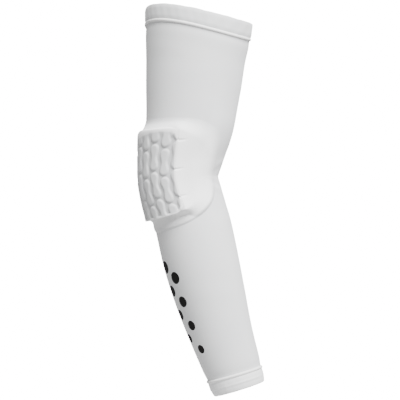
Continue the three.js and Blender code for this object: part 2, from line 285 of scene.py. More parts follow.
# Soft folds that the stretched knit shows. Each is a ridge (or valley, below 0) with a
# bell-shaped section, straight over the unrolled cloth: middle along the arm and in degrees
# round it from the back, lean from the arm's length, half length, half width and height.
foldRows = np.array(
    [
        # along, around, lean, halfLength, halfWidth, height
        [-24, 111, 1, 30, 3.0, -0.8],
        [-22, 103, 1, 28, 3.0, 0.5],
        [-14, 126, 8, 24, 4.5, 0.25],
        [-36, 127, 2, 36, 9.5, 1.8],
        [-54, 150, 88, 24, 18.0, 1.5],
        [-30, 148, -6, 20, 5.5, 0.3],
        [9, 150, 72, 14, 3.0, -0.3],
        [15, 150, 66, 18, 3.4, 0.3],
        [-8, 156, -68, 14, 3.2, -0.25],
        [-15, 156, -62, 16, 3.4, 0.25],
        [9, 210, -72, 14, 3.0, -0.3],
        [15, 210, -66, 18, 3.4, 0.3],
        [-8, 204, 68, 14, 3.2, -0.25],
        [-15, 204, 62, 16, 3.4, 0.25],
        [-126, 60, 84, 44, 7.0, 0.22],
        [-112, 130, 97, 40, 8.0, 0.2],
        [-96, 250, 82, 50, 9.0, 0.25],
        [120, 100, 80, 30, 8.0, 0.18],
        [150, 230, 100, 30, 8.0, 0.2],
    ]
)


# The sum of the folds: each is exp(-(across / halfWidth)^2 - (down / halfLength)^2).
def foldsAt(along, around):
    total = np.zeros(np.broadcast(along, around).shape)
    for middle, turn, lean, halfLength, halfWidth, height in foldRows:
        angle = np.radians(lean)
        gap = (around - np.radians(turn) + np.pi) % (2 * np.pi) - np.pi
        across = gap * arm["elbowDepth"] / 2
        down = along - middle
        onward = down * np.cos(angle) + across * np.sin(angle)
        sideways = across * np.cos(angle) - down * np.sin(angle)
        total += height * np.exp(-((sideways / halfWidth) ** 2) - (onward / halfLength) ** 2)
    return total


# The sleeve

knit = {
    "wall": 0.8,  # the real cloth's thickness
    "tuck": 1.2,  # how far it runs under each band
    "rows": 232,
    "sides": 168,
    "stretch": 1.2,  # worn area over the area as cut
    "seamDip": 0.5,  # how far it is drawn in beside each seam
    "dipFrom": 4.4,  # that far from the band
    "dipWidth": 4.2,
}
bands = {
    "upperHeight": 15.4,
    "wristHeight": 14.0,
    "wall": 2.0,
    "proud": 0.7,
    "gap": 0.3,
}
upperSeamAt = -arm["upperLength"] + bands["upperHeight"]
wristSeamAt = arm["foreLength"] - bands["wristHeight"]


# Distances round the arm to each column, for the cloth's u, in cm.
def clothU(points):
    closed = np.concatenate([points, points[:, :1]], axis=1)
    steps = np.linalg.norm(np.diff(closed, axis=1), axis=-1)
    return np.concatenate([np.zeros((len(points), 1)), np.cumsum(steps, axis=1)], axis=1) / 10


# The knitted tube: rows crowded towards the elbow, where it folds, so that along is a
# cubic of the row number; the inner wall follows the outer one at the cloth's thickness.
def makeSleeve():
    start = upperSeamAt - knit["tuck"]
    end = wristSeamAt + knit["tuck"]
    t = np.linspace(0, 1, knit["rows"])
    crowd = 0.55
    middle = -start / (end - start)
    eased = t + crowd * (t - middle) * (1 - t) * t * 2.2 * np.exp(-((t - middle) / 0.22) ** 2) * -1
    along = start + (end - start) * np.sort(eased)
    around = np.linspace(0, 2 * np.pi, knit["sides"], endpoint=False)
    height = foldsAt(along[:, None], around[None, :])
    for edge, direction in ((upperSeamAt, 1), (wristSeamAt, -1)):
        beyond = (along - edge) * direction - knit["dipFrom"]
        height = height - knit["seamDip"] * np.exp(-((beyond / knit["dipWidth"]) ** 2))[:, None]
    outer = armPoint(along[:, None], around[None, :], height)
    inner = armPoint(along[::-1, None], around[None, :], height[::-1] - knit["wall"])
    points = np.concatenate([outer, inner])
    u = clothU(points)
    v = np.concatenate([along, along[::-1] + 5])[:, None] / 10 * np.ones((1, knit["sides"] + 1))
    piece = gridMesh("sleeve_knit", points[::-1], (u[::-1], v[::-1]), sharpAngle=60)
    ringLength = u[: knit["rows"], -1] * 10
    worn = np.trapz(ringLength, along) / 1e6
    return piece, worn, ringLength.max() / 1000, (end - start) / 1000


sleevePiece, sleeveArea, sleeveWidth, sleeveLength = makeSleeve()
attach(sleevePiece, "root")
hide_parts("sleeve")
print("sleeve made, worn area", round(sleeveArea, 4), "m2")

# The bands

bandLook = {
    "sides": 320,
    "roll": 0.9,  # how far the free edge rolls inwards
    "rollReach": 5.0,  # over this distance from the edge
    "tuckIn": 0.62,  # how far its other edge is drawn in to the seam
    "tuckReach": 4.6,
    "hemAt": 7.4,  # where the folded-in hem's edge shows through, from the free edge
    "hemWidth": 1.3,
    "flareAt": 2.25,  # radians round the arm from its back
}
# each band: height of its soft waves, and of the hem's ridge
bandWaves = {"upper": 0.15, "wrist": 0.04}
# how far its free edge flares out over the front's near side
bandFlares = {"upper": 1.3, "wrist": 0.0}
hemRidges = {"upper": 0.0, "wrist": 0.4}
# and how much whiter it is painted: painted light over the whole wrist band
bandPaintedLight = {"upper": 0.0, "wrist": 0.45}


# A band's profile: the outer face from the seam to the free edge, a half-round fold, and
# the inner face back to the seam. Each point is (distance from the free edge, height).
def bandProfile(height):
    low = bands["proud"] - bands["wall"]
    fold = bands["wall"] / 2
    face = np.concatenate([np.linspace(height, 8, 14)[:-1], np.linspace(8, fold, 22)])
    turn = np.radians(np.linspace(80, -80, 9))
    edge = np.stack([fold - fold * np.cos(turn), bands["proud"] - fold + fold * np.sin(turn)], axis=1)
    inside = np.linspace(fold, height, 14)
    return np.concatenate(
        [
            np.stack([face, np.full(len(face), bands["proud"])], axis=1),
            edge,
            np.stack([inside, np.full(len(inside), low)], axis=1),
        ]
    )


# The profile carried round the arm. Its free edge rolls inwards by roll (1 - d/reach)^2,
# most at the back, and its other edge is tucked in the same way. It puckers in sine waves,
# and the hem's edge stands out as a bell-shaped ridge.
def makeBand(which, openingAt, height, direction, phase):
    profile = bandProfile(height)
    distance = profile[:, 0][:, None]
    around = np.linspace(0, 2 * np.pi, bandLook["sides"], endpoint=False)[None, :]
    outside = (profile[:, 1] > bands["proud"] - bands["wall"] / 2)[:, None]
    more = 0.8 + 0.2 * np.cos(around)
    roll = -bandLook["roll"] * more * np.clip(1 - distance / bandLook["rollReach"], 0, 1) ** 2
    tuckIn = -bandLook["tuckIn"] * np.clip(1 - (height - distance) / bandLook["tuckReach"], 0, 1) ** 2
    waves = (
        np.sin(11 * around + phase)
        + 0.8 * np.sin(19 * around + 2 * phase + 0.25 * distance)
        + 0.4 * np.sin(37 * around + 3 * phase - 0.2 * distance)
    )
    pucker = bandWaves[which] * waves
    frontSide = np.clip(np.cos(around - bandLook["flareAt"]), 0, 1) ** 2
    pucker = pucker + bandFlares[which] * frontSide * (1 - distance / height)
    ridge = hemRidges[which] * np.exp(-(((distance - bandLook["hemAt"]) / bandLook["hemWidth"]) ** 2))
    ridge = ridge * (0.75 + 0.25 * np.sin(3 * around + phase))
    along = openingAt + direction * (distance + bandWaves[which] * waves * np.exp(-distance / 3))
    heights = profile[:, 1][:, None] + roll + pucker + (tuckIn + ridge) * outside
    points = armPoint(along, around, heights)
    u = clothU(points)
    v = np.cumsum(np.r_[0, np.hypot(*np.diff(profile, axis=0).T)])[:, None] / 10
    v = v * np.ones((1, bandLook["sides"] + 1))
    if direction < 0:
        points, u, v = points[::-1], u[::-1], v[::-1]
    piece = gridMesh(f"{which}_band_knit", points, (u, v), sharpAngle=60)
    # the band is mixed towards white by this share: painted light, on the wrist band only
    attribute = piece.data.attributes.new("whiteningAndPaintedLight", "FLOAT", "POINT")
    attribute.data.foreach_set("value", np.full(len(piece.data.vertices), bandPaintedLight[which]))
    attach(piece, "root")
    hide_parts(f"{which}_band")
    return piece


upperBand = makeBand("upper", -arm["upperLength"], bands["upperHeight"], 1, 0.7)
wristBand = makeBand("wrist", arm["foreLength"], bands["wristHeight"], -1, 2.1)
print("bands made")

# The seams

seams = {
    "width": 3.1,
    "height": 0.85,
    "ribPitch": 1.7,  # from thread to thread along the seam
    "ribHeight": 0.14,
    "ribLean": 0.9,  # how far a thread leans over the seam's width, in pitches
    "samplesPerRib": 7,
}


# A raised seam: an arch, sin^1.5 over its width, ribbed by overlock threads that cross it
# on a slant: height = arch + ribHeight * |cos(pi * rib)|.
def makeSeam(which, bandEdge, direction, radius):
    ribs = int(round(2 * np.pi * radius / seams["ribPitch"]))
    count = ribs * seams["samplesPerRib"]
    around = np.linspace(0, 2 * np.pi, count, endpoint=False)[None, :]
    arch = np.radians(np.linspace(0, 180, 13))[:, None]
    share = (1 - np.cos(arch)) / 2
    rib = ribs * around / (2 * np.pi) + seams["ribLean"] * share
    thread = np.abs(np.cos(np.pi * rib)) ** 0.7 * np.sin(arch)
    top = seams["height"] * np.sin(arch) ** 1.5 + seams["ribHeight"] * thread + 0.05
    along = bandEdge + direction * (-0.1 + seams["width"] * share)
    under = np.full((1, count), -0.35)
    upper = armPoint(along, around, top)
    lower = armPoint(bandEdge + direction * (seams["width"] * np.array([[0.85], [0.15]])), around, under)
    points = np.concatenate([upper, lower])
    u = clothU(points)
    v = np.linspace(0, 0.8, len(points))[:, None] * np.ones((1, count + 1))
    if direction < 0:
        points, u, v = points[::-1], u[::-1], v[::-1]
    piece = gridMesh(f"{which}_seam_thread", points[::-1], (u[::-1], v[::-1]), sharpAngle=70)
    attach(piece, "root")
    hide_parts(f"{which}_seam")
    return piece


upperSeam = makeSeam("upper", upperSeamAt, 1, 52)
wristSeam = makeSeam("wrist", wristSeamAt, -1, 26)
print("seams made")

# The pad's own measure

pad = {
    "turn": 29.0,  # degrees from the back to the pad's middle
    "width": 86.0,
    "above": 53.0,
    "below": 41.0,
    "height": 8.2,
    "topSlope": 6.4,  # how far its upper end leans back, towards the back of the arm
    "topSlopeNear": 1.6,  # and towards its near side
    "sideSlope": 0.8,
    "undercut": 2.6,  # how far its lower end is drawn in at its foot
    "bow": 2.6,
    "lean": 0.1,
    "leanFrom": 20.0,
    "squareness": 9,
    "shoulder": 1.0,  # how far in its rounded edges reach past their slope
    "edgePower": 0.75,  # 1 rounds them as an ellipse, and less squarer
    "rimRise": 0.8,  # how far its sides stand above the tiles beside them
    "rimReach": 8.0,
    "rimBand": 0.8,  # beside its sides the grooves fill up over this distance
    "topBand": 9.0,  # and this one at its upper end
    "cover": 1.1,  # how far the rim's white comes over its sides: partly the margin's cloth over it, partly painted light
    "coverTop": 2.8,
    "tick": 0.9,  # depth of the creases that run on from the grooves over its sides
    "tickWidth": 0.9,
    "tickReach": 9.0,
    "rows": 200,
    "columns": 184,
}
tiles = {
    "columns": 8,
    "pitch": 27.6,
    "stagger": 6.0,
    "groove": 1.9,
    "bulb": 4.75,
    "waist": 3.2,
    "edge": 1.0,
    "firstGroove": -2.1,
    "depth": 1.35,
    "soft": 2.7,  # over this distance a tile rises to its full height
    "outset": 0.6,  # from this far outside its outline
}
margin = {
    "width": 194.0,
    "above": 66.0,
    "below": 54.5,
    "edge": 1.1,
    "rise": 6.6,
    "crest": 1.2,
    "crestReach": 9.0,
    "riseAbove": 10.0,
    "riseBelow": 4.0,
    "runOut": 0.8,
    "fallAbove": 1.05,  # 1 thins it out evenly towards its sides, and more faster
    "fallBelow": 1.7,
    "endShare": 0.12,
    "corner": 0.5,
    "squareness": 3,
    "step": 4.2,  # over this distance its lower edge rounds down to the knit
    "blend": 12.0,  # its upper edge runs out flat over this one
    "blendBeside": 24.0,  # and its sides over this one
    "tent": 4.6,  # how much higher the cloth stands above the pad
    "tentReach": 12.0,
    "rings": 46,
}


# Distance along the pad's face at the back line, against distance along the arm.
def padRuler():
    along = np.arange(-0.6 * arm["upperLength"], 0.6 * arm["foreLength"], 0.5)
    points = armPoint(along, 0, pad["height"])
    walked = np.r_[0, np.cumsum(np.linalg.norm(np.diff(points, axis=0), axis=1))]
    return along, walked - np.interp(0, along, walked)


rulerAlong, rulerWalked = padRuler()


# How much further up the pad's face lies at its sides: bow * (across / half width)^2.
def bowAt(across):
    return pad["bow"] * (across / (pad["width"] / 2)) ** 2


# A place on the pad, across its face from its middle and down it, as a place on the arm.
# Its lower part leans across by lean * (down + root of (down^2 + from^2) - from) / 2.
def padToArm(across, down):
    along = np.interp(down - bowAt(across), rulerWalked, rulerAlong)
    leant = (down + np.hypot(down, pad["leanFrom"]) - pad["leanFrom"]) / 2
    faceRadius = arm["elbowDepth"] / 2 + pad["height"]
    return along, math.radians(pad["turn"]) + (across + pad["lean"] * leant) / faceRadius


# A point over the pad, at a height off the knit.
def padPoint(across, down, height):
    return armPoint(*padToArm(across, down), height)


# A square turned into a rounded outline: a point (s, t) is moved along its ray so that the
# square's edge falls on the curve |s|^n + |t|^n = 1.
def rounded(s, t, squareness):
    largest = np.maximum(np.abs(s), np.abs(t))
    spread = (np.abs(s) ** squareness + np.abs(t) ** squareness) ** (1 / squareness)
    factor = largest / np.maximum(spread, 1e-9)
    return s * factor, t * factor


# How high the margin stands on the knit: as high as the pad's sides beside it, thin
# elsewhere, with the cloth drawn up to the pad's upper edge.
def marginHeight(across, down):
    beside = np.maximum(0, np.abs(across) - pad["width"] / 2)
    sideways = np.maximum(0, 1 - beside / ((margin["width"] - pad["width"]) / 2))
    corner = smoothStep(np.abs(across) / (pad["width"] / 2), margin["corner"], 1)
    endShare = np.where(down < 0, margin["endShare"], 0)
    nearSide = endShare + (1 - endShare) * corner
    end = np.where(down < 0, pad["above"], pad["below"])
    run = np.where(down < 0, margin["riseAbove"], margin["riseBelow"]) + margin["runOut"] * beside
    past = smoothStep(np.abs(down) - end, -run / 2, run)
    crest = margin["crest"] * np.clip(1 - beside / margin["crestReach"], 0, 1) ** 1.5
    fall = margin["fallAbove"] + (margin["fallBelow"] - margin["fallAbove"]) * smoothStep(down, -10, 25)
    rise = (margin["rise"] * sideways**fall + crest) * nearSide * (1 - past)
    beyond = np.clip((-down - pad["above"]) / margin["tentReach"], 0, 1)
    tent = margin["tent"] * (1 - beyond) ** 2 * (down < -pad["above"] * 0.8)
    tent = tent * (1 - smoothStep(np.abs(across), pad["width"] * 0.42, pad["width"] * 0.62))
    tent = tent * (1 - 0.85 * smoothStep(-across, 2, 26))
    return margin["edge"] + (rise**3 + tent**3) ** (1 / 3) - ticksAt(across, down)


# The pad

columnPitch = (pad["width"] - 2 * tiles["edge"]) / (tiles["columns"] - 1)


# How much the pad is squeezed along its length at each column, by the elbow's bend.
def columnSqueeze():
    across = (np.arange(tiles["columns"]) - (tiles["columns"] - 1) / 2) * columnPitch
    reach = tiles["pitch"]
    top = padPoint(across, np.full(across.shape, -reach), pad["height"])
    foot = padPoint(across, np.full(across.shape, reach), pad["height"])
    return np.linalg.norm(top - foot, axis=1) / (2 * reach)


squeeze = columnSqueeze()


# How far down its column a place lies, in tiles, so that a groove's middle is a whole
# number: every second column is raised.
def tilesDown(across, down, column):
    middle = (column - (tiles["columns"] - 1) / 2) * columnPitch
    raised = np.where(column % 2 == 1, tiles["stagger"], 0)
    walked = (down - bowAt(middle)) * squeeze[column]
    return across - middle, (walked - tiles["firstGroove"] + raised) / tiles["pitch"]


# How far inside a tile's outline a point lies, in mm (below 0 in the grooves). A tile is
# two round ends and a waist whose half width swells as a cosine.
def insideTile(across, down):
    column = np.clip(np.rint(across / columnPitch + (tiles["columns"] - 1) / 2), 0, tiles["columns"] - 1)
    x, along = tilesDown(across, down, column.astype(int))
    y = np.abs(along - np.floor(along) - 0.5) * tiles["pitch"]
    centre = (tiles["pitch"] - tiles["groove"]) / 2 - tiles["bulb"]
    past = np.maximum(y - centre, 0)
    swell = (1 - np.cos(np.pi * np.minimum(y, centre) / centre)) / 2
    half = tiles["waist"] + (tiles["bulb"] - tiles["waist"]) * swell
    return np.where(past > 0, tiles["bulb"] - np.hypot(x, past), half - np.abs(x))


# The creases over the pad's sides: bell-shaped valleys at the outer columns' grooves, which
# fade out over the margin.
def ticksAt(across, down):
    outer = np.where(across > 0, tiles["columns"] - 1, 0)
    along = tilesDown(across, down, outer)[1]
    gap = (along - np.rint(along)) * tiles["pitch"]
    side = pad["width"] / 2
    near = smoothStep(np.abs(across), side - 5, side - 2.5)
    near = near * (1 - smoothStep(np.abs(across), side, side + pad["tickReach"]))
    inner = (down > -pad["above"] + 6) & (down < pad["below"] - 4)
    return pad["tick"] * np.exp(-((gap / pad["tickWidth"]) ** 2)) * near * inner


# The face's height at grid places (s, t): tiles rise out of the grooves as 1 - (1 - t)^2.2,
# the face stands up towards its sides, and the grooves fill up beside its rim.
def faceHeight(across, down, s, t):
    fromSide = (1 - np.abs(s)) * pad["width"] / 2
    fromTop = (1 + t) * pad["above"]
    fromFoot = (1 - t) * pad["below"]
    inside = insideTile(across, down)
    puff = np.clip((inside + tiles["outset"]) / tiles["soft"], 0, 1)
    rise = tiles["depth"] * (1 - (1 - puff) ** 2.2)
    rim = pad["rimRise"] * np.clip(1 - fromSide / pad["rimReach"], 0, 1) ** 2
    creased = ticksAt(across, down) / pad["tick"]
    clear = smoothStep(fromSide, 0, pad["rimBand"]) * smoothStep(fromTop, 0, pad["topBand"])
    filled = (1 - clear * smoothStep(fromFoot, 0, pad["rimBand"])) * (1 - 0.75 * creased)
    rise = rise + (tiles["depth"] - rise) * filled
    # the second value, how far it is puffed, is lower in the grooves and creases; the material turns it into
    # painted shade
    return pad["height"] - tiles["depth"] + rise + rim, np.maximum(puff, filled)


# How far the upper end leans back: less towards the near side.
def topSlopeAt(across):
    near = smoothStep(across, -14, 18)
    return pad["topSlope"] + (pad["topSlopeNear"] - pad["topSlope"]) * near


# Places over a square grid's points, drawn in from the pad's outline by a share of its
# slopes and shoulders: 1 is the face's rim and 0 the foot, which is undercut below.
def padPlace(s, t, share):
    roundS, roundT = rounded(s, t, pad["squareness"])
    side = (pad["sideSlope"] + pad["shoulder"]) * share
    across = roundS * (pad["width"] / 2 - side)
    top = (topSlopeAt(across) + pad["shoulder"]) * share
    halfway = 2 * share - 1
    bottom = np.where(halfway > 0, pad["sideSlope"] + pad["shoulder"], pad["undercut"]) * halfway**2
    down = np.where(roundT < 0, roundT * (pad["above"] - top), roundT * (pad["below"] - bottom))
    return across, down


# The closed foam pad: a square grid for its face, loops down its rounded edges, each a
# quarter of a superellipse from the face to the foot, and a grid for its underside.
def makePad():
    s = np.linspace(-1, 1, pad["columns"])[None, :] * np.ones((pad["rows"], 1))
    t = np.linspace(-1, 1, pad["rows"])[:, None] * np.ones((1, pad["columns"]))
    across, down = padPlace(s, t, 1)
    height, lift = faceHeight(across, down, s, t)
    face = padPoint(across, down, height)
    rows, columns = pad["rows"], pad["columns"]
    index = np.arange(rows * columns).reshape(rows, columns)
    # the grid's border, clockwise from its first corner
    border = np.r_[index[0, :-1], index[:-1, -1], index[-1, :0:-1], index[:0:-1, 0]]
    edgeS, edgeT = s.ravel()[border], t.ravel()[border]
    edgeHeight = height.ravel()[border]
    footAcross, footDown = padPlace(edgeS, edgeT, 0)
    foot = marginHeight(footAcross, footDown)
    loops = []
    for turn in np.linspace(0, np.pi / 2, 12)[1:]:
        place = padPlace(edgeS, edgeT, 1 - np.sin(turn) ** pad["edgePower"])
        loops.append(padPoint(*place, foot + (edgeHeight - foot) * np.cos(turn) ** pad["edgePower"]))
    loops.append(padPoint(footAcross, footDown, np.full(foot.shape, 0.35)))
    under = padPoint(*padPlace(s, t, 0.01), np.full(s.shape, 0.3))
    vertices = np.concatenate([face.reshape(-1, 3), *loops, under.reshape(-1, 3)])
    count = len(border)
    firstLoop = rows * columns
    firstUnder = firstLoop + len(loops) * count
    rings = [border] + [firstLoop + k * count + np.arange(count) for k in range(len(loops))]
    rings.append(firstUnder + border)
    corners = [index[:-1, :-1], index[1:, :-1], index[1:, 1:], index[:-1, 1:]]
    quads = np.stack([c.ravel() for c in corners], axis=1)
    faces = [quads[:, ::-1]]
    for upper, lower in zip(rings[:-1], rings[1:]):
        faces.append(np.stack([upper, np.roll(upper, -1), np.roll(lower, -1), lower], axis=1)[:, ::-1])
    faces.append(quads + firstUnder)
    faces = np.concatenate(faces)
    mesh = bpy.data.meshes.new("elbow_pad_foam")
    mesh.from_pydata((vertices * 0.001).tolist(), [], faces.tolist())
    flat = np.zeros((len(vertices), 2))
    flat[: rows * columns] = np.stack([across.ravel(), down.ravel()], axis=1) / 10
    for k in range(len(loops)):
        reach = np.stack([footAcross, footDown], axis=1) * (1 + 0.01 * k)
        flat[firstLoop + k * count : firstLoop + (k + 1) * count] = reach / 10
    # lower in the grooves and creases: the material turns it into painted shade
    pressed = np.ones(len(vertices))
    pressed[: rows * columns] = lift.ravel()
    pressed[firstLoop:firstUnder] = np.tile(lift.ravel()[border], len(loops))
    corner = np.zeros(len(mesh.loops), dtype=np.int32)
    mesh.loops.foreach_get("vertex_index", corner)
    layer = mesh.uv_layers.new(name="cloth")
    layer.data.foreach_set("uv", flat[corner].ravel())
    attribute = mesh.attributes.new("puff", "FLOAT", "POINT")
    attribute.data.foreach_set("value", pressed)
    # the rim is mixed towards white: partly the margin's plain cloth over it, partly painted light
    coveredAndLit = np.ones(len(vertices))
    fromSide = (1 - np.abs(s)) * pad["width"] / 2
    fromTop = (1 + t) * pad["above"]
    coveredAndLit[: rows * columns] = np.maximum(
        1 - smoothStep(fromSide, 0, pad["cover"]), 1 - smoothStep(fromTop, 0.5, pad["coverTop"])
    ).ravel()
    attribute = mesh.attributes.new("whiteningAndPaintedLight", "FLOAT", "POINT")
    attribute.data.foreach_set("value", coveredAndLit)
    piece = finishMesh("elbow_pad_foam", mesh, sharpAngle=75)
    return piece, footAcross, footDown


elbowPad, rimAcross, rimDown = makePad()
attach(elbowPad, "root")
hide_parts("elbow_pad")
print("pad made")

# The margin


# The soft margin: loops from the pad's outline out to its own rounded outline, at the
# margin's height, which rounds down to the knit over its last step.
def makeMargin():
    angle = np.arctan2(rimDown, rimAcross)
    halfDown = np.where(rimDown < 0, margin["above"], margin["below"])
    n = margin["squareness"]
    reach = (
        (np.abs(np.cos(angle)) / (margin["width"] / 2)) ** n + (np.abs(np.sin(angle)) / halfDown) ** n
    ) ** (-1 / n)
    outAcross, outDown = reach * np.cos(angle), reach * np.sin(angle)
    span = np.hypot(outAcross - rimAcross, outDown - rimDown)
    share = np.linspace(0, 1, margin["rings"])[:, None]
    share = 1 - (1 - share) ** 1.35  # rings crowd towards the outer edge
    across = rimAcross + (outAcross - rimAcross) * share
    down = rimDown + (outDown - rimDown) * share
    fromEdge = (1 - share) * span
    # 0 above and beside, where its edge runs out flat
    blend = smoothStep(outDown, 0, 42) * (1 - 0.55 * smoothStep(np.abs(outAcross), 40, 75))
    flat = margin["blend"] + (margin["blendBeside"] - margin["blend"]) * smoothStep(np.abs(outAcross), 40, 75)
    flat = flat + (16 - flat) * smoothStep(outDown, -45, 0) - 8 * smoothStep(outDown, 20, 50)
    reachIn = margin["step"] + (flat - margin["step"]) * (1 - blend)
    t = np.clip(fromEdge / reachIn, 0, 1)
    stepped = np.sqrt(1 - (1 - t) ** 2) * (0.3 + 0.7 * smoothStep(t, 0, 0.6))
    roundOff = stepped * blend + smoothStep(t, 0, 1) * (1 - blend)
    folds = foldsAt(*padToArm(across, down)) * (0.4 + 0.6 * share)
    height = marginHeight(across, down) * roundOff - 0.08 * (1 - t) + folds
    top = padPoint(across, down, height)
    backShares = np.linspace(1, 0, 8)[:, None]
    backAcross = rimAcross + (outAcross - rimAcross) * backShares
    backDown = rimDown + (outDown - rimDown) * backShares
    bottom = padPoint(backAcross, backDown, np.full(backAcross.shape, -0.3))
    points = np.concatenate([top, bottom])
    closed = np.concatenate([across, across[:, :1]], axis=1)
    closedDown = np.concatenate([down, down[:, :1]], axis=1)
    u = np.concatenate([closed, np.broadcast_to(closed[:1], (8, closed.shape[1]))]) / 10
    v = np.concatenate([closedDown, np.broadcast_to(closedDown[:1], (8, closed.shape[1]))]) / 10
    piece = gridMesh("pad_margin_knit", points, (u, v), sharpAngle=60)
    # mixed towards white over the raised foam: partly its real colour, partly painted light; it fades in from the
    # edge, over less distance further down, and is weaker at the sides of the upper corners
    foamWhiteAndLight = smoothStep(height, 0.3, 2.0) * smoothStep(fromEdge, 0, 22 - 15 * smoothStep(outDown, 12, 48))
    foamWhiteAndLight = foamWhiteAndLight * (1 - 0.7 * smoothStep(np.abs(across), 44, 70) * smoothStep(-down, 20, 44))
    whiteningAndPaintedLight = np.zeros(len(piece.data.vertices))
    whiteningAndPaintedLight[: foamWhiteAndLight.size] = foamWhiteAndLight.ravel()
    attribute = piece.data.attributes.new("whiteningAndPaintedLight", "FLOAT", "POINT")
    attribute.data.foreach_set("value", whiteningAndPaintedLight)
    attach(piece, "root")
    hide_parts("pad_margin")
    return piece


padMargin = makeMargin()
print("margin made")

# The printed dots

dots = {
    "turn": 29.0,
    "rows": 8,
    "diameter": 13.0,
    "shrink": 0.6,
    "pitch": 12.4,
    "offset": 6.6,
    "start": 84.0,
    "film": 0.12,
    "rings": 10,
    "sides": 72,
}


# One dot: loops from its middle out over the knit, and back underneath it. The film thins
# at its edge as the root of 1 - r^8.
def makeDot(row):
    radius = (dots["diameter"] - dots["shrink"] * row) / 2
    middle = dots["start"] + dots["pitch"] * row
    halfDepth = sectionAt(np.array([middle]))[2][0]
    turn = math.radians(dots["turn"]) + (1 if row % 2 else -1) * dots["offset"] / halfDepth
    angle = np.linspace(0, 2 * np.pi, dots["sides"], endpoint=False)[None, :]
    r = np.linspace(0.1, 1, dots["rings"])[:, None]
    along = middle - radius * r * np.sin(angle)
    around = turn + radius * r * np.cos(angle) / halfDepth
    fold = foldsAt(along, around)
    top = armPoint(along, around, fold + dots["film"] * np.sqrt(1 - 0.97 * r**8))
    under = armPoint(along[::-1], around[::-1], fold[::-1] - 0.06)
    poles = np.stack(
        [armPoint(middle, turn, foldsAt(middle, turn) + dots["film"]), armPoint(middle, turn, foldsAt(middle, turn) - 0.06)]
    )
    points = np.concatenate([top, under])
    piece = gridMesh(f"print_dot_film_{row + 1}", points[::-1], None, poles[::-1], sharpAngle=60)
    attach(piece, "root")
    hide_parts(f"print_dot_{row + 1}")
    return piece


dotPieces = [makeDot(row) for row in range(dots["rows"])]
print("dots made")

# Materials


# A knitted face: V-shaped stitches in upright wales. The height is sqrt(t) * (0.55 + 0.45 s),
# where t runs up to each wale's middle and s up to each stitch's, on a slant.
def knitHeight(tree, wale, course):
    uv = addNode(tree, "ShaderNodeUVMap", {"uv_map": "cloth"})
    parts = addNode(tree, "ShaderNodeSeparateXYZ", links={0: uv.outputs[0]})
    across = addNode(tree, "ShaderNodeMath", {"operation": "MULTIPLY"}, {1: 10 / wale}, {0: parts.outputs[0]})
    ramp = addNode(tree, "ShaderNodeMath", {"operation": "PINGPONG"}, {1: 0.5}, {0: across.outputs[0]})
    slant = addNode(tree, "ShaderNodeMath", {"operation": "MULTIPLY"}, {1: 0.9}, {0: ramp.outputs[0]})
    down = addNode(
        tree,
        "ShaderNodeMath",
        {"operation": "MULTIPLY_ADD"},
        {1: 10 / course},
        {0: parts.outputs[1], 2: slant.outputs[0]},
    )
    stitch = addNode(tree, "ShaderNodeMath", {"operation": "PINGPONG"}, {1: 0.5}, {0: down.outputs[0]})
    body = addNode(
        tree, "ShaderNodeMath", {"operation": "MULTIPLY_ADD"}, {1: 0.9, 2: 0.55}, {0: stitch.outputs[0]}
    )
    rounding = addNode(tree, "ShaderNodeMath", {"operation": "POWER"}, {1: 0.5}, {0: ramp.outputs[0]})
    return addNode(
        tree, "ShaderNodeMath", {"operation": "MULTIPLY"}, {}, {0: rounding.outputs[0], 1: body.outputs[0]}
    ).outputs[0]


# A material with its shader, ready for links.
def startMaterial(name, shader):
    material = bpy.data.materials.new(name)
    material.use_nodes = True
    tree = material.node_tree
    tree.nodes.clear()
    surface = addNode(tree, "ShaderNodeBsdfPrincipled", values=shader)
    addNode(tree, "ShaderNodeOutputMaterial", links={0: surface.outputs[0]})
    return material, tree, surface


# Polyester and elastane knit: matt, with a soft sheen at grazing angles, its wales running
# down the arm. The real wales are about 0.45 mm apart, too fine for the render, so they are
# drawn at 0.9 mm.
knitLook = {
    "colour": "#d8d9d9",
    "shade": "#d1d2d4",  # painted shade in the knit's low places, mixed with random clouds of tone
    "whiteAndPaintedLight": "#fafafa",  # the white it is mixed towards: over foam partly real, as nothing dark shows through, and partly painted light; on the wrist band painted light only
    "wale": 0.9,
    "course": 0.8,
    "relief": 0.00006,
    "roughness": 0.82,
    "sheen": 0.25,
}


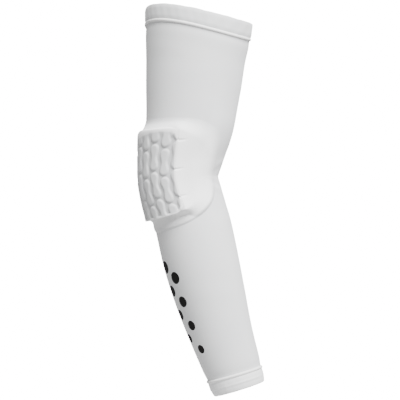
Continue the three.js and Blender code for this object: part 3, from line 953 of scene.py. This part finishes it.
def knitMaterial(name, look):
    material, tree, surface = startMaterial(
        name,
        {
            "Roughness": look["roughness"],
            "Sheen Weight": look["sheen"],
            "Sheen Roughness": 0.5,
            "Specular IOR Level": 0.3,
        },
    )
    place = addNode(tree, "ShaderNodeTexCoord")
    cloud = addNode(
        tree,
        "ShaderNodeTexNoise",
        values={"Scale": 26.0, "Detail": 3.0, "Roughness": 0.55},
        links={"Vector": place.outputs["Object"]},
    )
    height = knitHeight(tree, look["wale"], look["course"])
    share = addNode(
        tree,
        "ShaderNodeMath",
        {"operation": "MULTIPLY_ADD"},
        {1: 0.35},
        {0: height, 2: cloud.outputs["Fac"]},
    )
    # darker towards the stitches' low places: painted shade, mixed with random clouds of tone
    ramp = addNode(tree, "ShaderNodeMapRange", values={1: 0.35, 2: 0.85}, links={0: share.outputs[0]})
    colour = addNode(
        tree,
        "ShaderNodeMix",
        {"data_type": "RGBA"},
        {"A": linearColour(look["shade"]), "B": linearColour(look["colour"])},
        {"Factor": ramp.outputs[0]},
    )
    # mixed towards white where the attribute says: partly knit over white foam, partly painted light
    whiteningAndPaintedLight = addNode(tree, "ShaderNodeAttribute", {"attribute_name": "whiteningAndPaintedLight"})
    whole = addNode(
        tree,
        "ShaderNodeMix",
        {"data_type": "RGBA"},
        {"B": linearColour(look["whiteAndPaintedLight"])},
        {"Factor": whiteningAndPaintedLight.outputs["Fac"], "A": colour.outputs["Result"]},
    )
    tree.links.new(whole.outputs["Result"], surface.inputs["Base Color"])
    bump = addNode(
        tree, "ShaderNodeBump", values={"Strength": 0.6, "Distance": look["relief"]}, links={"Height": height}
    )
    tree.links.new(bump.outputs[0], surface.inputs["Normal"])
    return material


# The doubled elastic knit of the bands: the same yarn, denser and a little smoother.
bandKnitLook = {**knitLook, "colour": "#dadbdb", "shade": "#d2d3d5", "wale": 0.7, "course": 0.7, "relief": 0.00005}

# Knit heat-pressed onto moulded foam: the weave flattens, and the grooves and creases are
# painted a shade greyer than the puffed tiles: painted shade.
foamLook = {**knitLook, "colour": "#d5d6d6", "shade": "#cdced0", "relief": 0.00004, "roughness": 0.7}


def foamMaterial(name, look):
    material = knitMaterial(name, look)
    tree = material.node_tree
    surface = next(n for n in tree.nodes if n.type == "BSDF_PRINCIPLED")
    cloth = surface.inputs["Base Color"].links[0].from_socket
    # greyer where puff is low, in the grooves and creases: painted shade
    puff = addNode(tree, "ShaderNodeAttribute", {"attribute_name": "puff"})
    share = addNode(tree, "ShaderNodeMapRange", values={1: 0.0, 2: 0.7, 3: 0.88, 4: 1.0}, links={0: puff.outputs["Fac"]})
    pressed = addNode(
        tree,
        "ShaderNodeMix",
        {"data_type": "RGBA", "blend_type": "MULTIPLY"},
        {"Factor": 1.0},
        {"A": cloth, "B": share.outputs[0]},
    )
    tree.links.new(pressed.outputs["Result"], surface.inputs["Base Color"])
    return material


# Textured polyester overlock thread: twisted filaments, brighter than the knit.
threadLook = {"colour": "#eaeae9", "twist": 0.45, "relief": 0.00008}


def threadMaterial():
    material, tree, surface = startMaterial(
        "overlock polyester thread",
        {
            "Base Color": linearColour(threadLook["colour"]),
            "Roughness": 0.6,
            "Sheen Weight": 0.2,
            "Specular IOR Level": 0.4,
        },
    )
    uv = addNode(tree, "ShaderNodeUVMap", {"uv_map": "cloth"})
    twist = addNode(
        tree,
        "ShaderNodeTexWave",
        {"bands_direction": "DIAGONAL"},
        {"Scale": 0.31416 / (threadLook["twist"] / 10), "Distortion": 0.6},
        {"Vector": uv.outputs[0]},
    )
    bump = addNode(
        tree,
        "ShaderNodeBump",
        values={"Strength": 0.5, "Distance": threadLook["relief"]},
        links={"Height": twist.outputs["Fac"]},
    )
    tree.links.new(bump.outputs[0], surface.inputs["Normal"])
    return material


# Matt heat-transfer film: black, faintly dimpled by the knit below it, slightly worn.
inkLook = {"colour": "#080808", "worn": "#0f0f10", "grain": 0.8, "relief": 0.00003}


def inkMaterial():
    material, tree, surface = startMaterial(
        "matt heat transfer film", {"Roughness": 0.7, "Specular IOR Level": 0.2}
    )
    place = addNode(tree, "ShaderNodeTexCoord")
    grain = addNode(
        tree,
        "ShaderNodeTexNoise",
        values={"Scale": 1000 / inkLook["grain"], "Detail": 2.0},
        links={"Vector": place.outputs["Object"]},
    )
    colour = addNode(
        tree,
        "ShaderNodeMix",
        {"data_type": "RGBA"},
        {"A": linearColour(inkLook["colour"]), "B": linearColour(inkLook["worn"])},
        {"Factor": grain.outputs["Fac"]},
    )
    tree.links.new(colour.outputs["Result"], surface.inputs["Base Color"])
    bump = addNode(
        tree,
        "ShaderNodeBump",
        values={"Strength": 0.5, "Distance": inkLook["relief"]},
        links={"Height": grain.outputs["Fac"]},
    )
    tree.links.new(bump.outputs[0], surface.inputs["Normal"])
    return material


sleeveKnit = knitMaterial("stretch jersey knit", knitLook)
bandKnit = knitMaterial("doubled elastic knit", bandKnitLook)
padFace = foamMaterial("heat pressed knit on foam", foamLook)
seamThread = threadMaterial()
printInk = inkMaterial()
for piece, material in [
    (sleevePiece, sleeveKnit),
    (padMargin, sleeveKnit),
    (upperBand, bandKnit),
    (wristBand, bandKnit),
    (upperSeam, seamThread),
    (wristSeam, seamThread),
    (elbowPad, padFace),
    *[(dot, printInk) for dot in dotPieces],
]:
    piece.data.materials.append(material)
print("materials made")

# Floor and light

studio = {
    "floorColour": "#f4f4f4",
    "floorAt": -420.0,
    "floorRadius": 800.0,
    "floorFade": (0.25, 0.65),  # metres from its middle
    "daylight": 0.6,  # the light from all round
    "behind": 17.0,  # how bright the backdrop looks
    "key": 182.0,
    "fill": 36.0,
}


# A round pale floor that thins out towards its edge into the light behind it.
def makeFloor():
    angle = np.linspace(0, 2 * np.pi, 96, endpoint=False)[None, :]
    radius = np.array([100, 300, 600, studio["floorRadius"]])[:, None]
    x, y = radius * np.cos(angle), radius * np.sin(angle)
    top = np.stack([x, y, np.full(x.shape, studio["floorAt"])], axis=-1)
    poles = np.array([[0, 0, studio["floorAt"]]])
    vertices = np.concatenate([top.reshape(-1, 3), poles])
    count = 96
    j = np.arange(count)
    step = (j + 1) % count
    faces = [[len(vertices) - 1, a, b] for a, b in zip(j.tolist(), step.tolist())]
    for k in range(3):
        faces += np.stack([k * count + j, (k + 1) * count + j, (k + 1) * count + step, k * count + step], axis=1).tolist()
    mesh = bpy.data.meshes.new("floor")
    mesh.from_pydata((vertices * 0.001).tolist(), [], faces)
    floor = finishMesh("floor", mesh)
    material, tree, surface = startMaterial("matt pale studio floor", {"Roughness": 0.9, "Specular IOR Level": 0.1})
    place = addNode(tree, "ShaderNodeTexCoord")
    mottle = addNode(tree, "ShaderNodeTexNoise", values={"Scale": 3.0}, links={"Vector": place.outputs["Object"]})
    tint = addNode(
        tree,
        "ShaderNodeMix",
        {"data_type": "RGBA"},
        {"A": linearColour("#f2f2f2"), "B": linearColour(studio["floorColour"])},
        {"Factor": mottle.outputs["Fac"]},
    )
    tree.links.new(tint.outputs["Result"], surface.inputs["Base Color"])
    far = addNode(tree, "ShaderNodeVectorMath", {"operation": "LENGTH"}, links={0: place.outputs["Object"]})
    near, gone = studio["floorFade"]
    fade = addNode(
        tree,
        "ShaderNodeMapRange",
        {"interpolation_type": "SMOOTHSTEP"},
        {1: near, 2: gone, 3: 1.0, 4: 0.0},
        {0: far.outputs["Value"]},
    )
    tree.links.new(fade.outputs[0], surface.inputs["Alpha"])
    floor.data.materials.append(material)


# A square lamp that faces a point, at a distance in a direction.
def makeLamp(name, azimuth, elevation, distance, size, power, target=(0, 0, -20)):
    a, e = math.radians(azimuth), math.radians(elevation)
    towards = np.array([math.sin(a) * math.cos(e), -math.cos(a) * math.cos(e), math.sin(e)])
    data = bpy.data.lights.new(name, "AREA")
    data.size = size
    data.energy = power
    lamp = bpy.data.objects.new(name, data)
    lamp.location = ((np.array(target) + towards * distance) * 0.001).tolist()
    z = towards
    x = np.cross([0, 0, 1.0], z)
    x /= np.linalg.norm(x)
    y = np.cross(z, x)
    matrix = np.stack([x, y, z], axis=1)
    from mathutils import Matrix

    lamp.rotation_euler = Matrix(matrix.tolist()).to_euler()
    bpy.context.collection.objects.link(lamp)


# Even light from all round, with a backdrop that looks brighter than it lights.
def makeWorld():
    world = bpy.data.worlds.new("studio")
    world.use_nodes = True
    tree = world.node_tree
    tree.nodes.clear()
    ray = addNode(tree, "ShaderNodeLightPath")
    strength = addNode(
        tree,
        "ShaderNodeMapRange",
        values={3: studio["daylight"], 4: studio["behind"]},
        links={0: ray.outputs["Is Camera Ray"]},
    )
    light = addNode(tree, "ShaderNodeBackground", values={0: (1, 1, 1, 1)}, links={1: strength.outputs[0]})
    addNode(tree, "ShaderNodeOutputWorld", links={0: light.outputs[0]})
    bpy.context.scene.world = world


makeFloor()
makeWorld()
makeLamp("key", 25, 50, 2200, 1.2, studio["key"])
makeLamp("fill", 50, 35, 2200, 1.6, studio["fill"])
print("studio made")
